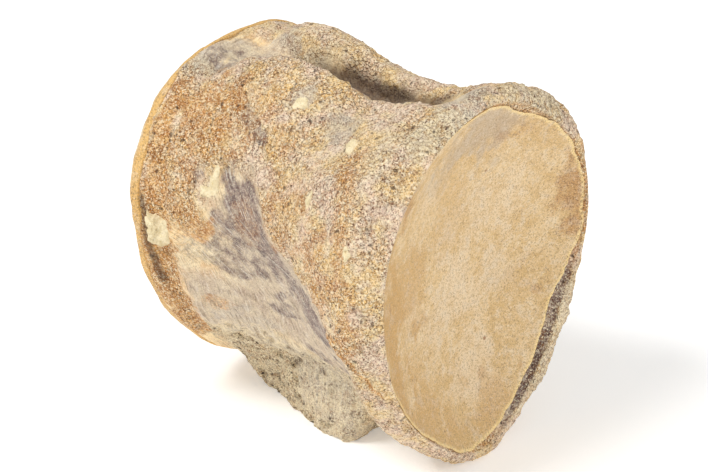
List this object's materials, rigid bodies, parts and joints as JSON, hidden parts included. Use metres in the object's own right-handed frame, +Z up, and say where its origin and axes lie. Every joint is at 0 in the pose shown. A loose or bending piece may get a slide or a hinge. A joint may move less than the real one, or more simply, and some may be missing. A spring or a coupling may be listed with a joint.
{
  "type": "fossil mosasaur vertebra",
  "caption": "Life-size fossil mosasaur vertebra: barrel-shaped centrum, hollow in front and domed behind, with broken process stumps, a neural canal groove and a worn keel.",
  "frame": {"origin": "centre of the bounding box's base, on the surface that the bone lies on", "axes": "+X forward along the centrum, towards the hollow cotyle; +Y to the animal's left; +Z up, towards the neural canal"},
  "size_m": [0.0666, 0.0666, 0.0716],
  "materials": {
    "fossil_bone": "weathered mineralised bone: satin tan joint faces, granular orange-brown break scars, grey-mauve fibrous cortex"
  },
  "bodies": {
    "root": {"vertebra": "fossil_bone"}
  },
  "joints": []
}
